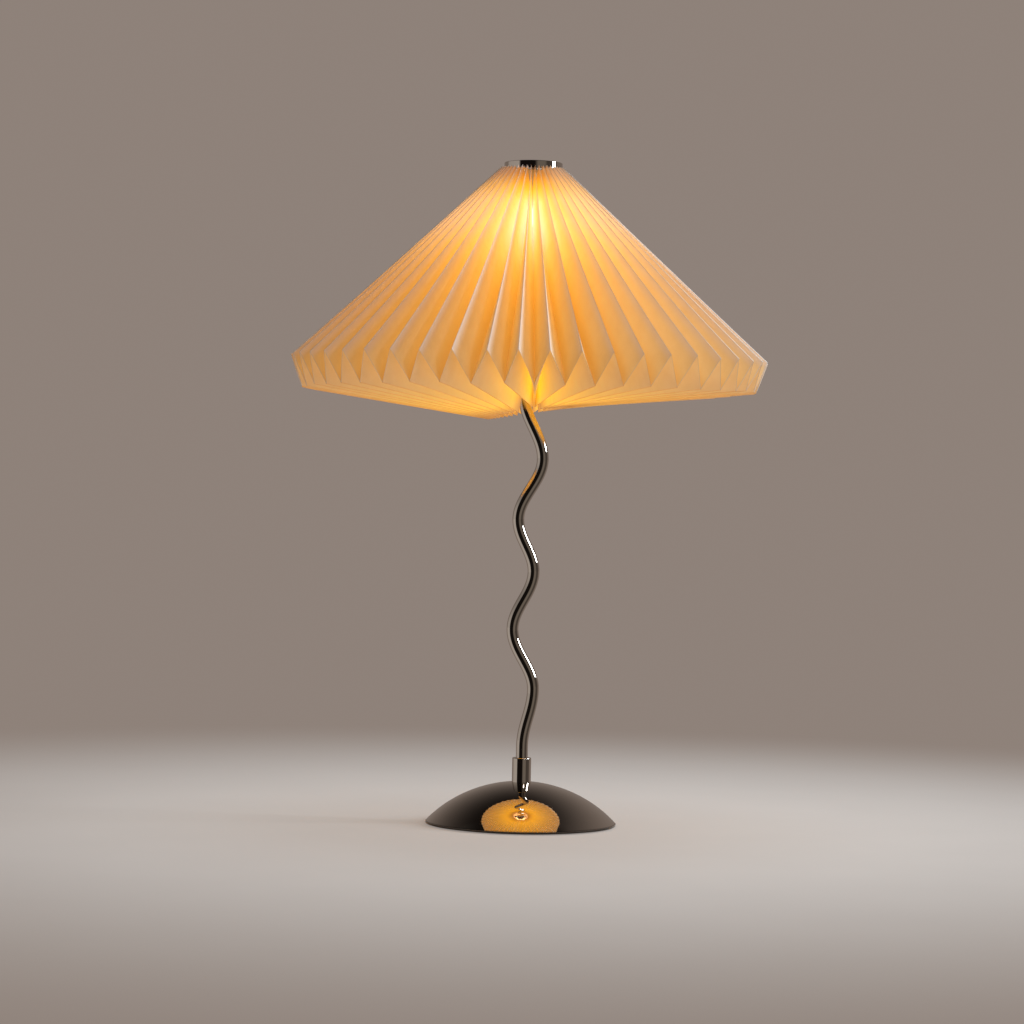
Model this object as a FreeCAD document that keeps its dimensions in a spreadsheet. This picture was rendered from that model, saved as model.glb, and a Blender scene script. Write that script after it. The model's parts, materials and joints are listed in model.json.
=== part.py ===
"""Pleated paper table lamp: wavy tube stem on a domed foot, folded paper shade hung from a harp.

Millimetres, +Z up. The origin is the middle of the foot's underside, and the front faces -Y.
"""
import FreeCAD, Part
import Sketcher
import math
import os

# Driving dimensions. Heights on the stem count from the top of the collar.
DIMENSIONS = {
    # foot
    "base_radius": 80.0,
    "base_height": 36.0,
    "rim_gap": 1.0,
    "rim_lip": 1.5,
    "dome_wall": 1.5,
    "dome_flat_radius": 8.5,
    "pad_overhang": 1.0,
    "pad_thickness": 2.5,
    "weight_rim_gap": 8.0,
    "weight_bevel": 20.0,
    "weight_height": 16.0,
    "boss_radius": 22.0,
    "boss_top_radius": 8.0,
    "recess_radius": 14.0,
    "recess_depth": 18.5,
    "channel_width": 14.0,
    "channel_height": 12.0,
    "inlet_height": 8.5,
    "inlet_set_back": 18.0,
    "inlet_length": 17.5,
    "inlet_radius": 4.6,
    "inlet_bore_radius": 2.8,
    "inlet_flange_radius": 5.6,
    "inlet_flange_thickness": 2.0,
    "block_start": 26.0,
    "block_length": 20.0,
    "block_width": 12.0,
    "block_height": 10.0,
    # stem
    "collar_radius": 8.0,
    "collar_height": 20.4,
    "collar_round": 0.8,
    "tube_radius": 5.0,
    "tube_wall": 1.0,
    "bend_radius": 36.0,
    "first_bend_rise": 26.3,
    "bend_a_side": 11.6,
    "bend_a_rise": 61.9,
    "bend_b_side": -15.7,
    "bend_b_rise": 107.3,
    "bend_c_side": 11.8,
    "bend_c_rise": 155.1,
    "bend_d_side": -12.8,
    "bend_d_rise": 203.0,
    "bend_e_side": 17.8,
    "bend_e_rise": 246.6,
    "bend_f_side": -6.3,
    "bend_f_rise": 301.9,
    "last_bend_rise": 323.6,
    "nut_rise": 330.6,
    "nut_width": 14.0,
    "nut_thickness": 4.0,
    "washer_radius": 12.0,
    "washer_thickness": 1.5,
    "thread_tail": 2.5,
    "thread_head": 5.0,
    "lead_radius": 2.3,
    "lead_bend": 8.0,
    "bore_gap": 0.05,
    # harp
    "saddle_thickness": 2.0,
    "saddle_half_length": 29.0,
    "saddle_width": 12.0,
    "wire_radius": 1.75,
    "wire_bend": 6.0,
    "wire_fit": 0.02,
    "wire_tail": 1.0,
    "harp_half_width": 26.0,
    "harp_height": 130.0,
    "harp_shoulder_drop": 16.0,
    "harp_top_half_width": 10.0,
    "stud_body_radius": 5.0,
    "stud_body_below": 3.5,
    "stud_body_above": 4.1,
    "stud_radius": 3.0,
    # lamp holder
    "cap_floor": 2.0,
    "cap_floor_radius": 9.0,
    "cap_cone_height": 10.0,
    "cap_height": 17.0,
    "holder_radius": 19.0,
    "holder_wall": 1.5,
    "sleeve_height": 36.5,
    "bead_radius": 20.0,
    "bead_height": 3.0,
    "core_lift": 11.0,
    "core_height": 14.0,
    "core_gap": 0.2,
    "shell_bore_radius": 13.4,
    "shell_wall": 0.6,
    "shell_height": 24.0,
    "shell_flange_radius": 16.5,
    "shell_flange_thickness": 0.8,
    "tongue_radius": 4.5,
    "tongue_height": 3.9,
    "screw_radius": 2.0,
    "screw_head": 2.5,
    "screw_place": 10.0,
    # bulb
    "contact_gap": 0.1,
    "bulb_contact_radius": 4.5,
    "bulb_contact_height": 1.2,
    "insulator_radius": 11.0,
    "insulator_height": 3.8,
    "bulb_cap_radius": 13.2,
    "bulb_cap_taper": 2.2,
    "bulb_cap_height": 17.0,
    "bulb_cap_wall": 0.6,
    "housing_radius": 16.0,
    "housing_cone_height": 12.0,
    "housing_height": 14.0,
    "housing_wall": 1.5,
    "board_thickness": 1.5,
    "board_gap": 0.2,
    "globe_radius": 22.5,
    "globe_height": 42.0,
    "globe_neck_radius": 16.0,
    "globe_wall": 1.0,
    # shade
    "bush_radius": 5.0,
    "bush_flange_radius": 7.6,
    "bush_flange_thickness": 1.5,
    "seat_gap": 0.1,
    "carrier_thickness": 1.2,
    "carrier_sheet": 1.0,
    "carrier_length": 24.0,
    "valley_seat": 1.0,
    "slope_angle": 43.4,
    "gather_radius": 27.0,
    "rim_radius": 200.0,
    "pleat_width": 28.2,
    "pleat_count": 48,
    "panel_count": 4,
    "crease_lead": 10.7,
    "underside_angle": 7.0,
    "hole_radius": 34.0,
    "paper_thickness": 0.3,
    "crease_thickness": 1.6,
    "station_a": 15.0,
    "station_b": 35.0,
    "station_c": 65.0,
    "station_d": 105.0,
    "station_e": 150.0,
    "underside_spans": 3,
    "seam_angle": 0.9,
    # top of the shade
    "ring_radius": 24.5,
    "ring_wall": 1.6,
    "ring_height": 6.5,
    "ring_round": 0.4,
    "ring_seat_gap": 0.15,
    "spider_lift": 0.3,
    "spider_thickness": 2.0,
    "spider_hub_radius": 8.5,
    "spider_arm_width": 6.0,
    "spider_arm_count": 3,
    "bush_play": 0.2,
    "nut_washer_radius": 6.5,
    "nut_washer_thickness": 0.8,
    "shade_nut_radius": 7.0,
    "shade_nut_height": 4.0,
    "shade_nut_chamfer": 0.5,
    "stud_below_nut_top": 0.4,
}

doc = FreeCAD.newDocument("pleated_table_lamp")
sheet = doc.addObject("Spreadsheet::Sheet", "Sizes")
for row, (alias, number) in enumerate(DIMENSIONS.items(), start=1):
    sheet.set(f"A{row}", alias)
    sheet.set(f"B{row}", str(number))
    sheet.setAlias(f"B{row}", alias)
doc.recompute()


class Size:
    """A number that also knows the spreadsheet expression it comes from."""

    def __init__(self, value, text):
        self.value = value
        self.text = text

    def _join(self, other, sign, value):
        return Size(value, f"({self.text} {sign} {as_size(other).text})")

    def __add__(self, other):
        return self._join(other, "+", self.value + as_size(other).value)

    def __radd__(self, other):
        return as_size(other) + self

    def __sub__(self, other):
        return self._join(other, "-", self.value - as_size(other).value)

    def __rsub__(self, other):
        return as_size(other) - self

    def __mul__(self, other):
        return self._join(other, "*", self.value * as_size(other).value)

    def __rmul__(self, other):
        return as_size(other) * self

    def __truediv__(self, other):
        return self._join(other, "/", self.value / as_size(other).value)

    def __neg__(self):
        return self * -1


def as_size(number):
    """A plain number as a Size; a Size as it is."""
    if isinstance(number, Size):
        return number
    return Size(float(number), repr(float(number)))


def dimension(alias):
    """The sheet's value of that name."""
    return Size(float(sheet.get(alias)), f"Sizes.{alias}")


def root(size):
    return Size(math.sqrt(size.value), f"sqrt({size.text})")


def sine(angle):
    return Size(math.sin(math.radians(angle.value)), f"sin({angle.text})")


def cosine(angle):
    return Size(math.cos(math.radians(angle.value)), f"cos({angle.text})")


def bind(thing, prop, size):
    thing.setExpression(prop, as_size(size).text)


# ---------------------------------------------------------------- sketches and bodies

def pin_coordinate(sketch, kind, axis, geometry, vertex, size):
    """Hold one coordinate of a vertex on its axis, or at a distance bound to the sheet."""
    if abs(size.value) < 1e-9:
        sketch.addConstraint(Sketcher.Constraint("PointOnObject", geometry, vertex, axis))
        return
    index = sketch.addConstraint(Sketcher.Constraint(kind, -1, 1, geometry, vertex, size.value))
    bind(sketch, f"Constraints[{index}]", size)


def pin_vertex(sketch, geometry, vertex, across, up):
    pin_coordinate(sketch, "DistanceX", -2, geometry, vertex, as_size(across))
    pin_coordinate(sketch, "DistanceY", -1, geometry, vertex, as_size(up))


def axis_arc(start, end):
    """Arc from start to end in the sketch plane, its centre on the vertical axis."""
    (x1, y1), (x2, y2) = start, end
    centre = (x1 * x1 + y1 * y1 - x2 * x2 - y2 * y2) / (2 * (y1 - y2))
    radius = math.hypot(x1, y1 - centre)
    first = math.atan2(y1 - centre, x1)
    last = math.atan2(y2 - centre, x2)
    circle = Part.Circle(FreeCAD.Vector(0, centre, 0), FreeCAD.Vector(0, 0, 1), radius)
    return Part.ArcOfCircle(circle, min(first, last), max(first, last)), first < last


def draw_outline(sketch, outline):
    """Closed outline of (across, up) vertices. A third entry "arc" bends the edge that
    starts there round the vertical axis."""
    flat = [(as_size(p[0]).value, as_size(p[1]).value) for p in outline]
    ends = []
    for index, place in enumerate(outline):
        start = flat[index]
        end = flat[(index + 1) % len(flat)]
        if len(place) > 2:
            arc, forward = axis_arc(start, end)
            geometry = sketch.addGeometry(arc, False)
            sketch.addConstraint(Sketcher.Constraint("PointOnObject", geometry, 3, -2))
            ends.append((geometry, 1, 2) if forward else (geometry, 2, 1))
        else:
            line = Part.LineSegment(FreeCAD.Vector(*start, 0), FreeCAD.Vector(*end, 0))
            ends.append((sketch.addGeometry(line, False), 1, 2))
    for index, (geometry, start, end) in enumerate(ends):
        following = ends[(index + 1) % len(ends)]
        sketch.addConstraint(
            Sketcher.Constraint("Coincident", geometry, end, following[0], following[1]))
        pin_vertex(sketch, geometry, start, outline[index][0], outline[index][1])


def draw_circle(sketch, across, up, radius):
    across, up, radius = as_size(across), as_size(up), as_size(radius)
    middle = FreeCAD.Vector(across.value, up.value, 0)
    circle = Part.Circle(middle, FreeCAD.Vector(0, 0, 1), radius.value)
    geometry = sketch.addGeometry(circle, False)
    if abs(across.value) < 1e-9 and abs(up.value) < 1e-9:
        sketch.addConstraint(Sketcher.Constraint("Coincident", geometry, 3, -1, 1))
    else:
        pin_vertex(sketch, geometry, 3, across, up)
    index = sketch.addConstraint(Sketcher.Constraint("Radius", geometry, radius.value))
    bind(sketch, f"Constraints[{index}]", radius)


def new_body(name):
    body = doc.addObject("PartDesign::Body", name)
    body.Label = name
    return body


def new_sketch(body, name, role, lift=0.0):
    """Sketch on one of the body's own origin planes, lifted along its normal."""
    sketch = body.newObject("Sketcher::SketchObject", name)
    plane = next(p for p in body.Origin.OriginFeatures if p.Role == role)
    sketch.AttachmentSupport = (plane, [""])
    sketch.MapMode = "FlatFace"
    bind(sketch, "AttachmentOffset.Base.z", lift)
    return sketch


def turned(name, outline):
    """Body turned about Z from an outline of (radius, height) vertices."""
    body = new_body(name)
    sketch = new_sketch(body, name + "_profile", "XZ_Plane")
    draw_outline(sketch, outline)
    turn = body.newObject("PartDesign::Revolution", name + "_turn")
    turn.Profile = sketch
    turn.ReferenceAxis = (sketch, ["V_Axis"])
    turn.Angle = 360
    body.Tip = turn
    return body


def padded(name, outline, holes, bottom, thickness):
    """Body padded up from a flat outline with round holes (across, up, radius)."""
    body = new_body(name)
    sketch = new_sketch(body, name + "_profile", "XY_Plane", bottom)
    draw_outline(sketch, outline)
    for hole in holes:
        draw_circle(sketch, *hole)
    pad = body.newObject("PartDesign::Pad", name + "_pad")
    pad.Profile = sketch
    bind(pad, "Length", thickness)
    body.Tip = pad
    return body


def cut_from(body, name, sketch, length, reverse=False):
    """Pocket into the body; stops if nothing was cut."""
    doc.recompute()
    before = body.Shape.Volume
    pocket = body.newObject("PartDesign::Pocket", name)
    pocket.Profile = sketch
    bind(pocket, "Length", length)
    pocket.Reversed = reverse
    body.Tip = pocket
    doc.recompute()
    assert body.Shape.Volume < before - 1e-6, f"{name} cuts nothing"
    return pocket


def rounded(body, name, places, radius):
    """Fillet on the body's round edges that lie at the given (radius, height) places."""
    doc.recompute()
    base = body.Tip
    names = []
    for index, edge in enumerate(base.Shape.Edges, start=1):
        if isinstance(edge.Curve, Part.Circle):
            for across, up in places:
                apart = abs(edge.Curve.Radius - across.value) + abs(edge.Curve.Center.z - up.value)
                if apart < 1e-6:
                    names.append(f"Edge{index}")
    rounding = body.newObject("PartDesign::Fillet", name)
    rounding.Base = (base, names)
    bind(rounding, "Radius", radius)
    body.Tip = rounding


def primitive(kind, name, sizes, place):
    """Part primitive with its sizes and its place bound to the sheet."""
    thing = doc.addObject(kind, name)
    for prop, size in sizes.items():
        bind(thing, prop, size)
    for axis, size in zip("xyz", place):
        bind(thing, f"Placement.Base.{axis}", size)
    return thing


def cylinder(name, radius, height, place):
    return primitive("Part::Cylinder", name, {"Radius": radius, "Height": height}, place)


def box(name, length, width, height, place):
    return primitive("Part::Box", name, {"Length": length, "Width": width, "Height": height}, place)


def lying_cylinder(name, radius, length, start, height):
    """Cylinder along +Y that starts at y = start."""
    rod = cylinder(name, radius, length, (0, start, height))
    rod.Placement.Rotation = FreeCAD.Rotation(FreeCAD.Vector(1, 0, 0), -90)
    return rod


def cut(name, base, tool):
    thing = doc.addObject("Part::Cut", name)
    thing.Base = base
    thing.Tool = tool
    return thing


def fuse(name, shapes):
    thing = doc.addObject("Part::MultiFuse", name)
    thing.Shapes = shapes
    return thing


def group(name, links):
    """Several separate solids that share one node."""
    thing = doc.addObject("Part::Compound", name)
    thing.Links = links
    return thing


# ---------------------------------------------------------------- shared heights

size = dimension
weight_bottom = size("pad_thickness")
weight_radius = size("base_radius") - size("weight_rim_gap")
recess_top = weight_bottom + size("recess_depth")
lower_nut_bottom = recess_top - size("washer_thickness") - size("nut_thickness")
tube_bottom = lower_nut_bottom - size("thread_tail")
collar_top = size("base_height") + size("collar_height")
upper_nut_bottom = collar_top + size("nut_rise")
saddle_bottom = upper_nut_bottom + size("nut_thickness")
holder_bottom = saddle_bottom + size("saddle_thickness")
tube_top = holder_bottom + size("cap_floor") + size("thread_head")
core_bottom = holder_bottom + size("core_lift")
core_top = core_bottom + size("core_height")
bulb_bottom = core_top + size("tongue_height") + size("contact_gap")
harp_top = holder_bottom + size("harp_height")
stud_shoulder = harp_top + size("stud_body_above")
bush_bottom = stud_shoulder + size("seat_gap")
carrier_bottom = bush_bottom + size("bush_flange_thickness") + size("seat_gap")
carrier_top = carrier_bottom + size("carrier_thickness")

slope = size("slope_angle")
pleat_angle = math.pi / size("pleat_count").value


def pleat_depth(ridge_radius, tilt):
    """Depth of a fold whose panels keep their width: the chord's share comes off."""
    width = size("pleat_width").value
    valley_radius = ridge_radius - width * tilt
    chord = 4 * ridge_radius * valley_radius * math.sin(pleat_angle / 2) ** 2
    return math.sqrt(width * width - chord)


top_depth = pleat_depth(size("gather_radius").value, sine(slope).value)
valley_tip_height = carrier_top + size("valley_seat")
shade_top = valley_tip_height + top_depth * cosine(slope)
ring_bottom = (shade_top - (size("gather_radius") - size("ring_radius")) * cosine(slope) / sine(slope)
               + size("ring_seat_gap"))
spider_bottom = ring_bottom + size("spider_lift")
spider_top = spider_bottom + size("spider_thickness")
bush_top = spider_top + size("bush_play")
nut_washer_bottom = bush_top + size("seat_gap")
shade_nut_bottom = nut_washer_bottom + size("nut_washer_thickness")
shade_nut_top = shade_nut_bottom + size("shade_nut_height")
stud_top = shade_nut_top - size("stud_below_nut_top")
tube_bore = size("tube_radius") - size("tube_wall")
tube_hole = size("tube_radius") + size("bore_gap")


# ---------------------------------------------------------------- foot

def base_dome():
    """Spun cover with a short upright lip, its flat top under the collar, a cord hole behind."""
    rim_top = size("rim_gap") + size("rim_lip")
    inside = size("base_radius") - size("dome_wall")
    crown = size("base_height") - size("dome_wall")
    body = turned("base_dome", [
        (tube_hole, crown),
        (size("dome_flat_radius"), crown, "arc"),
        (inside, rim_top),
        (inside, size("rim_gap")),
        (size("base_radius"), size("rim_gap")),
        (size("base_radius"), rim_top, "arc"),
        (size("dome_flat_radius"), size("base_height")),
        (tube_hole, size("base_height")),
    ])
    sketch = new_sketch(body, "inlet_hole", "XZ_Plane")
    draw_circle(sketch, 0, size("inlet_height"), size("inlet_radius") + size("bore_gap"))
    cut_from(body, "inlet_pocket", sketch, size("base_radius"))
    bore = size("inlet_bore_radius").value
    middle = FreeCAD.Vector(0, size("boss_radius").value, size("inlet_height").value)
    probe = Part.makeCylinder(bore, size("base_radius").value, middle, FreeCAD.Vector(0, 1, 0))
    behind = body.Shape.common(probe)
    assert behind.Volume < 1e-6, "the inlet hole isn't at the back"


def base_weight():
    """Cast disc with a boss up to the dome, a recess for the nut and a channel for the cord."""
    disc_top = weight_bottom + size("weight_height")
    body = turned("base_weight", [
        (tube_hole, recess_top),
        (size("recess_radius"), recess_top),
        (size("recess_radius"), weight_bottom),
        (weight_radius, weight_bottom),
        (weight_radius - size("weight_bevel"), disc_top),
        (size("boss_radius"), disc_top),
        (size("boss_top_radius"), size("base_height") - size("dome_wall")),
        (tube_hole, size("base_height") - size("dome_wall")),
    ])
    half = size("channel_width") / 2
    sketch = new_sketch(body, "channel_profile", "XY_Plane", weight_bottom)
    draw_outline(sketch, [
        (-half, 0),
        (half, 0),
        (half, size("base_radius")),
        (-half, size("base_radius")),
    ])
    cut_from(body, "channel", sketch, size("channel_height"), reverse=True)


def base_pad():
    cylinder("base_pad", weight_radius + size("pad_overhang"), size("pad_thickness"), (0, 0, 0))


def cord_inlet():
    """Plastic bush in the back of the dome, with its flange inside."""
    start = size("base_radius") - size("inlet_set_back")
    height = size("inlet_height")
    flange = size("inlet_flange_thickness")
    body = lying_cylinder("inlet_body", size("inlet_radius"), size("inlet_length"), start, height)
    stop = lying_cylinder("inlet_stop", size("inlet_flange_radius"), flange, start - flange, height)
    bore = lying_cylinder("inlet_bore", size("inlet_bore_radius"), size("inlet_length") + 3 * flange,
                          start - 2 * flange, height)
    cut("cord_inlet", fuse("inlet_outside", [body, stop]), bore)


def terminal_block():
    box("terminal_block", size("block_width"), size("block_length"), size("block_height"),
        (-size("block_width") / 2, size("block_start"), weight_bottom))


# ---------------------------------------------------------------- stem

def bent_path(corners, radius):
    """Straight runs joined by tangent arcs of one radius, as a wire."""
    edges = []
    here = corners[0]
    for before, corner, after in zip(corners, corners[1:], corners[2:]):
        arriving = (corner - before).normalize()
        leaving = (after - corner).normalize()
        turn = arriving.getAngle(leaving)
        setback = radius * math.tan(turn / 2)
        start = corner - arriving * setback
        end = corner + leaving * setback
        inward = (leaving - arriving).normalize()
        middle = corner + inward * (radius / math.cos(turn / 2) - radius)
        edges.append(Part.LineSegment(here, start).toShape())
        edges.append(Part.Arc(start, middle, end).toShape())
        here = end
    edges.append(Part.LineSegment(here, corners[-1]).toShape())
    return Part.Wire(edges)


def rod_along(path, radius):
    """Round rod along a wire."""
    first = path.Edges[0]
    start = first.valueAt(first.FirstParameter)
    along = first.tangentAt(first.FirstParameter)
    section = Part.Wire([Part.Circle(start, along, radius).toShape()])
    rod = path.makePipeShell([section], True, False)
    expected = math.pi * radius * radius * path.Length
    assert abs(rod.Volume - expected) < 0.01 * expected, "the rod lost its section"
    return rod


def feature(name, shape):
    """Sub-part whose shape comes from a formula."""
    thing = doc.addObject("Part::Feature", name)
    thing.Shape = shape
    thing.Placement = FreeCAD.Placement()
    return thing


def stem_corners(bottom, top):
    """Corners of the stem's wave, in the XZ plane."""
    rises = [(0.0, size("first_bend_rise"))]
    for letter in "abcdef":
        rises.append((size(f"bend_{letter}_side"), size(f"bend_{letter}_rise")))
    rises.append((0.0, size("last_bend_rise")))
    corners = [FreeCAD.Vector(as_size(side).value, 0, (collar_top + rise).value) for side, rise in rises]
    return [FreeCAD.Vector(0, 0, bottom)] + corners + [FreeCAD.Vector(0, 0, top)]


def stem_tube():
    corners = stem_corners(tube_bottom.value, tube_top.value)
    path = bent_path(corners, size("bend_radius").value)
    tube = rod_along(path, size("tube_radius").value).cut(rod_along(path, tube_bore.value))
    feature("stem_tube", tube)


def lamp_lead():
    """Sheathed lead from the lamp holder down the stem and round into the terminal block."""
    level = (weight_bottom + size("block_height") / 2).value
    bend = size("lead_bend").value
    corners = stem_corners(level + bend, core_bottom.value)
    rise = bent_path(corners, size("bend_radius").value)
    down = FreeCAD.Vector(0, 0, level + bend)
    out = FreeCAD.Vector(0, bend, level)
    lean = bend * (1 - math.sqrt(0.5))
    turn = Part.Arc(down, FreeCAD.Vector(0, lean, level + lean), out).toShape()
    run = Part.LineSegment(out, FreeCAD.Vector(0, size("block_start").value, level)).toShape()
    path = Part.Wire(Part.__sortEdges__([run, turn] + rise.Edges))
    feature("lamp_lead", rod_along(path, size("lead_radius").value))


def stem_collar():
    body = turned("stem_collar", [
        (tube_hole, size("base_height")),
        (size("collar_radius"), size("base_height")),
        (size("collar_radius"), collar_top),
        (tube_hole, collar_top),
    ])
    rounded(body, "collar_rounding", [(size("collar_radius"), collar_top)], size("collar_round"))


def stem_washer():
    place = (0, 0, recess_top - size("washer_thickness"))
    disc = cylinder("stem_washer_disc", size("washer_radius"), size("washer_thickness"), place)
    hole = cylinder("stem_washer_hole", tube_hole, size("washer_thickness"), place)
    cut("stem_washer", disc, hole)


def stem_nuts():
    """Two like hexagon nuts: one under the washer in the foot, one under the harp."""
    nuts = []
    for place, bottom in (("lower", lower_nut_bottom), ("upper", upper_nut_bottom)):
        sizes = {"Circumradius": size("nut_width") / root(as_size(3)), "Height": size("nut_thickness")}
        hexagon = primitive("Part::Prism", place + "_nut_hexagon", sizes, (0, 0, bottom))
        hexagon.Polygon = 6
        hole = cylinder(place + "_nut_hole", tube_hole, size("nut_thickness"), (0, 0, bottom))
        nuts.append(cut(place + "_nut", hexagon, hole))
    group("stem_nuts", nuts)


# ---------------------------------------------------------------- harp

def harp_saddle():
    length = size("saddle_half_length")
    half = size("saddle_width") / 2
    wire_hole = size("wire_radius") + size("wire_fit")
    padded("harp_saddle",
           [(-length, -half), (length, -half), (length, half), (-length, half)],
           [(0, 0, tube_hole),
            (size("harp_half_width"), 0, wire_hole),
            (-size("harp_half_width"), 0, wire_hole)],
           saddle_bottom, size("saddle_thickness"))


def harp_wire():
    foot = (saddle_bottom - size("wire_tail")).value
    shoulder = (harp_top - size("harp_shoulder_drop")).value
    side = size("harp_half_width").value
    top_side = size("harp_top_half_width").value
    right = [(side, foot), (side, shoulder), (top_side, harp_top.value)]
    left = [(-x, z) for x, z in reversed(right)]
    corners = [FreeCAD.Vector(x, 0, z) for x, z in right + left]
    path = bent_path(corners, size("wire_bend").value)
    feature("harp_wire", rod_along(path, size("wire_radius").value))


def harp_stud():
    """Threaded stud on a body that the harp's wire runs through."""
    low = harp_top - size("stud_body_below")
    body = turned("harp_stud", [
        (0, low),
        (size("stud_body_radius"), low),
        (size("stud_body_radius"), stud_shoulder),
        (size("stud_radius"), stud_shoulder),
        (size("stud_radius"), stud_top),
        (0, stud_top),
    ])
    sketch = new_sketch(body, "wire_hole", "YZ_Plane", -size("harp_half_width"))
    draw_circle(sketch, 0, harp_top, size("wire_radius") + size("wire_fit"))
    cut_from(body, "wire_bore", sketch, 2 * size("harp_half_width"), reverse=True)


# ---------------------------------------------------------------- lamp holder

def socket_cap():
    wall = size("holder_wall")
    cone = holder_bottom + size("cap_cone_height")
    top = holder_bottom + size("cap_height")
    floor = holder_bottom + size("cap_floor")
    turned("socket_cap", [
        (tube_hole, holder_bottom),
        (size("cap_floor_radius"), holder_bottom),
        (size("holder_radius"), cone),
        (size("holder_radius"), top),
        (size("holder_radius") - wall, top),
        (size("holder_radius") - wall, cone + wall / 2),
        (size("cap_floor_radius"), floor),
        (tube_hole, floor),
    ])


def socket_sleeve():
    low = holder_bottom + size("cap_height")
    top = low + size("sleeve_height")
    inside = size("holder_radius") - size("holder_wall")
    turned("socket_sleeve", [
        (inside, low),
        (size("holder_radius"), low),
        (size("holder_radius"), top - size("bead_height")),
        (size("bead_radius"), top - size("bead_height")),
        (size("bead_radius"), top),
        (inside, top),
    ])


def socket_core():
    radius = size("holder_radius") - size("holder_wall") - size("core_gap")
    cylinder("socket_core", radius, size("core_height"), (0, 0, core_bottom))


def socket_shell():
    inside = size("shell_bore_radius")
    flange_top = core_top + size("shell_flange_thickness")
    turned("socket_shell", [
        (inside, core_top),
        (size("shell_flange_radius"), core_top),
        (size("shell_flange_radius"), flange_top),
        (inside + size("shell_wall"), flange_top),
        (inside + size("shell_wall"), core_top + size("shell_height")),
        (inside, core_top + size("shell_height")),
    ])


def socket_contact():
    cylinder("socket_contact", size("tongue_radius"), size("tongue_height"), (0, 0, core_top))


def terminal_screws():
    """The two wire screws under the core."""
    low = core_bottom - size("screw_head")
    screws = []
    for side, place in (("right", size("screw_place")), ("left", -size("screw_place"))):
        screws.append(cylinder(side + "_screw", size("screw_radius"), size("screw_head"), (place, 0, low)))
    group("terminal_screws", screws)


# ---------------------------------------------------------------- bulb

insulator_bottom = bulb_bottom + size("bulb_contact_height")
cap_bottom = insulator_bottom + size("insulator_height")
housing_bottom = cap_bottom + size("bulb_cap_height")
globe_bottom = housing_bottom + size("housing_height")


def bulb_contact():
    cylinder("bulb_contact", size("bulb_contact_radius"), size("bulb_contact_height"), (0, 0, bulb_bottom))


def bulb_insulator():
    sizes = {"Radius1": size("bulb_contact_radius"), "Radius2": size("insulator_radius"),
             "Height": size("insulator_height")}
    primitive("Part::Cone", "bulb_insulator", sizes, (0, 0, insulator_bottom))


def bulb_cap():
    wall = size("bulb_cap_wall")
    taper = cap_bottom + size("bulb_cap_taper")
    turned("bulb_cap", [
        (0, cap_bottom),
        (size("insulator_radius"), cap_bottom),
        (size("bulb_cap_radius"), taper),
        (size("bulb_cap_radius"), housing_bottom),
        (size("bulb_cap_radius") - wall, housing_bottom),
        (size("bulb_cap_radius") - wall, taper),
        (size("insulator_radius") - wall, cap_bottom + wall),
        (0, cap_bottom + wall),
    ])


def bulb_housing():
    wall = size("housing_wall")
    cone = housing_bottom + size("housing_cone_height")
    foot = size("bulb_cap_radius")
    turned("bulb_housing", [
        (foot - wall, housing_bottom),
        (foot, housing_bottom),
        (size("housing_radius"), cone),
        (size("housing_radius"), globe_bottom),
        (size("housing_radius") - wall, globe_bottom),
        (size("housing_radius") - wall, cone),
    ])


def led_board():
    radius = size("housing_radius") - size("housing_wall") - size("board_gap")
    place = (0, 0, globe_bottom - size("board_thickness"))
    cylinder("led_board", radius, size("board_thickness"), place)


def bulb_globe():
    """Frosted ball on a short neck, with its wall."""
    neck = size("globe_neck_radius")
    wall = size("globe_wall")
    ball = size("globe_radius")
    top = globe_bottom + size("globe_height")
    middle = top - ball
    shoulder = middle - root(ball * ball - neck * neck)
    inner_neck = neck - wall
    inner_shoulder = middle - root((ball - wall) * (ball - wall) - inner_neck * inner_neck)
    turned("bulb_globe", [
        (neck, globe_bottom),
        (neck, shoulder, "arc"),
        (0, top),
        (0, top - wall, "arc"),
        (inner_neck, inner_shoulder),
        (inner_neck, globe_bottom),
    ])


# ---------------------------------------------------------------- shade

def shade_bush():
    """Flanged bush that the shade turns on."""
    flange_top = bush_bottom + size("bush_flange_thickness")
    inside = size("stud_radius") + size("bore_gap")
    turned("shade_bush", [
        (inside, bush_bottom),
        (size("bush_flange_radius"), bush_bottom),
        (size("bush_flange_radius"), flange_top),
        (size("bush_radius"), flange_top),
        (size("bush_radius"), bush_top),
        (inside, bush_top),
    ])


def shade_carrier():
    """Spun cone under the valleys of the pleats, with a flat hub round the bush."""
    across = size("carrier_length") * cosine(slope)
    drop = size("carrier_length") * sine(slope)
    lean_across = size("carrier_sheet") * sine(slope)
    lean_up = size("carrier_sheet") * cosine(slope)
    gap = size("seat_gap") + size("paper_thickness") / 2
    # the cone's face lies one gap under the valley line, and meets the hub's top there
    tip = size("gather_radius") - top_depth * sine(slope)
    start = tip + (size("valley_seat") - gap / cosine(slope)) * cosine(slope) / sine(slope)
    inner_start = start - size("carrier_sheet") / sine(slope) + (
        size("carrier_thickness") * cosine(slope) / sine(slope))
    hub = size("bush_radius") + size("bore_gap")
    turned("shade_carrier", [
        (hub, carrier_bottom),
        (inner_start, carrier_bottom),
        (start + across - lean_across, carrier_top - drop - lean_up),
        (start + across, carrier_top - drop),
        (start, carrier_top),
        (hub, carrier_top),
    ])


def meridian_point(place, offset, direction, azimuth):
    """Point of a meridian plane, moved in it, at an azimuth counted from -Y towards +X."""
    radius = place[0] + offset * direction[0]
    height = place[1] + offset * direction[1]
    return FreeCAD.Vector(radius * math.sin(azimuth), -radius * math.cos(azimuth), height)


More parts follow.
